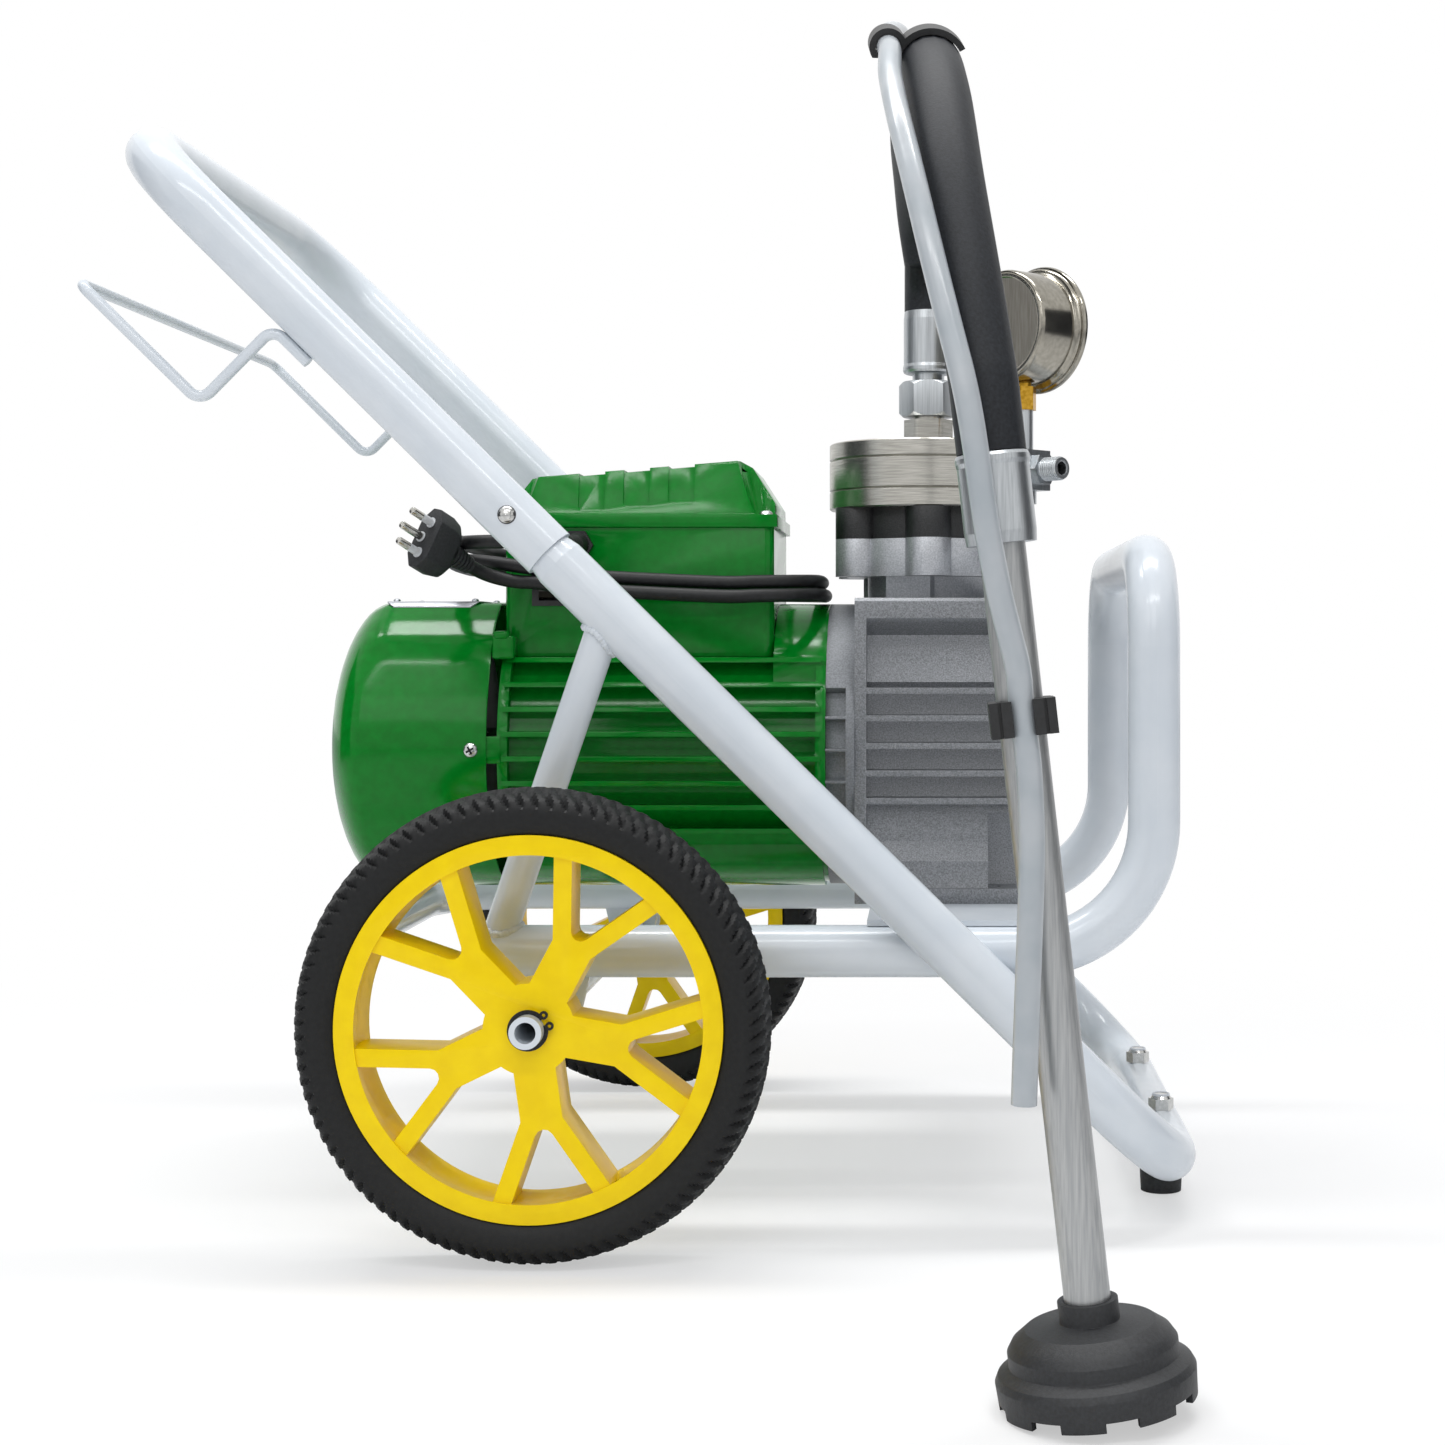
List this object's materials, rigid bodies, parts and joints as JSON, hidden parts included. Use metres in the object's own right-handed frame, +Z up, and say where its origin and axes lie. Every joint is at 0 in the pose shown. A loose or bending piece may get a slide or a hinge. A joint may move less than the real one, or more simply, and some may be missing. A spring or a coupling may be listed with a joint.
{
  "type": "airless paint sprayer",
  "caption": "Electric airless paint sprayer on a wheeled tube cart, with a suction tube, return hose, pressure gauge, wound power cord and hose hook.",
  "frame": {"origin": "centre of the bounding box's base, on the floor, measured without the cords", "axes": "+Z up, +X the front of the cart where its feet are, +Y away from the suction tube, so the wheels turn about Y"},
  "size_m": [0.6216, 0.763, 0.6485],
  "materials": {
    "frame_white": "smooth white powder coat",
    "black_steel": "blackened spring steel and bolts",
    "yellow_plastic": "glossy yellow moulded plastic",
    "tyre_rubber": "solid black rubber tyre",
    "bright_steel": "plated steel",
    "foot_rubber": "black rubber",
    "green_paint": "glossy green enamel",
    "stator_steel": "laminated core with varnished windings",
    "rotor_steel": "laminated rotor",
    "ground_steel": "ground steel",
    "fan_plastic": "black plastic fan",
    "black_plastic": "black moulded plastic",
    "cord_rubber": "black rubber cord and plug",
    "grey_casting": "grey painted aluminium casting",
    "silver_casting": "silver painted aluminium casting with a fine grain",
    "black_casting": "black painted casting",
    "diaphragm_rubber": "fabric backed rubber diaphragm",
    "spring_steel": "spring steel",
    "stainless": "turned stainless steel",
    "hose_rubber": "dark grey braided rubber hose",
    "bare_aluminium": "drawn aluminium tube",
    "strainer_plastic": "black moulded plastic",
    "milky_hose": "milky translucent plastic tube",
    "brass": "bare brass",
    "gauge_glass": "clear gauge window",
    "pointer_black": "black gauge pointer"
  },
  "bodies": {
    "cart": {"frame_tube": "frame_white", "cradle_tube": "frame_white", "strut_tubes": "frame_white", "mount_plate": "frame_white", "handle": "frame_white", "hose_hook": "frame_white", "axle": "frame_white", "circlips": "black_steel", "rubber_feet": "foot_rubber", "foot_bolts": "bright_steel", "motor_housing": "green_paint", "stator": "stator_steel", "bearings": "ground_steel", "fan_cowl": "green_paint", "cover_screws": "bright_steel", "control_box": "green_paint", "box_lid": "green_paint", "switch_bezel": "black_plastic", "cable_gland": "black_plastic", "cord_winding": "cord_rubber", "power_cord": "cord_rubber", "plug": "cord_rubber", "adapter_flange": "grey_casting", "gear_housing": "silver_casting", "head_flange": "silver_casting", "head_spacer": "black_casting", "diaphragm": "diaphragm_rubber", "lower_disc": "stainless", "middle_disc": "stainless", "upper_disc": "stainless", "head_bolts": "black_steel", "inlet_fitting": "stainless", "swivel_nut": "bright_steel", "hose_ferrules": "bright_steel", "suction_hose": "hose_rubber", "suction_tube": "bare_aluminium", "strainer": "strainer_plastic", "return_hose": "milky_hose", "tube_clip": "black_plastic", "arch_clip": "black_plastic", "valve_block": "stainless", "gauge_adapter": "brass", "return_valve": "stainless", "gauge_case": "bright_steel", "gauge_glass": "gauge_glass"},
    "near_wheel": {"near_rim": "yellow_plastic", "near_tyre": "tyre_rubber"},
    "far_wheel": {"far_rim": "yellow_plastic", "far_tyre": "tyre_rubber"},
    "near_button": {"near_snap_button": "bright_steel"},
    "far_button": {"far_snap_button": "bright_steel"},
    "rocker": {"rocker_switch": "black_plastic"},
    "shaft": {"rotor": "rotor_steel", "drive_shaft": "ground_steel", "cooling_fan": "fan_plastic"},
    "plunger": {"plunger": "ground_steel", "plunger_spring": "spring_steel"},
    "prime_knob": {"prime_knob": "black_plastic"},
    "pressure_knob": {"pressure_knob": "black_plastic"},
    "pointer": {"gauge_pointer": "pointer_black"}
  },
  "joints": [
    {"name": "near_wheel_spin", "type": "hinge", "parent": "cart", "child": "near_wheel", "pos_m": [-0.04945, -0.1125, 0.125], "axis": [0, 1, 0], "continuous": true},
    {"name": "far_wheel_spin", "type": "hinge", "parent": "cart", "child": "far_wheel", "pos_m": [-0.04945, 0.3555, 0.125], "axis": [0, 1, 0], "continuous": true},
    {"name": "near_button_press", "type": "slide", "parent": "cart", "child": "near_button", "axis": [0, 1, 0], "range_m": [0, 0.0035], "stiffness_N_per_m": 1500, "springref_m": -0.004},
    {"name": "far_button_press", "type": "slide", "parent": "cart", "child": "far_button", "axis": [0, -1, 0], "range_m": [0, 0.0035], "stiffness_N_per_m": 1500, "springref_m": -0.004},
    {"name": "rocker_tip", "type": "hinge", "parent": "cart", "child": "rocker", "pos_m": [-0.06645, 0.0625, 0.358], "axis": [1, 0, 0], "range_deg": [0, 16]},
    {"name": "shaft_spin", "type": "hinge", "parent": "cart", "child": "shaft", "pos_m": [0.05855, 0.1215, 0.262], "axis": [1, 0, 0], "continuous": true},
    {"name": "plunger_stroke", "type": "slide", "parent": "cart", "child": "plunger", "axis": [0, 0, 1], "range_m": [0, 0.0056], "deforming": ["plunger_spring"]},
    {"name": "prime_turn", "type": "hinge", "parent": "cart", "child": "prime_knob", "pos_m": [0.15755, 0.2165, 0.429], "axis": [0, 1, 0], "range_deg": [0, 90]},
    {"name": "pressure_turn", "type": "hinge", "parent": "cart", "child": "pressure_knob", "pos_m": [0.1178, 0.1851, 0.429], "axis": [-0.5299, 0.848, 0], "range_deg": [0, 300]},
    {"name": "pointer_sweep", "type": "hinge", "parent": "cart", "child": "pointer", "pos_m": [0.21482, 0.06422, 0.515], "axis": [0.7314, 0.682, 0], "range_deg": [-270, 0]}
  ]
}
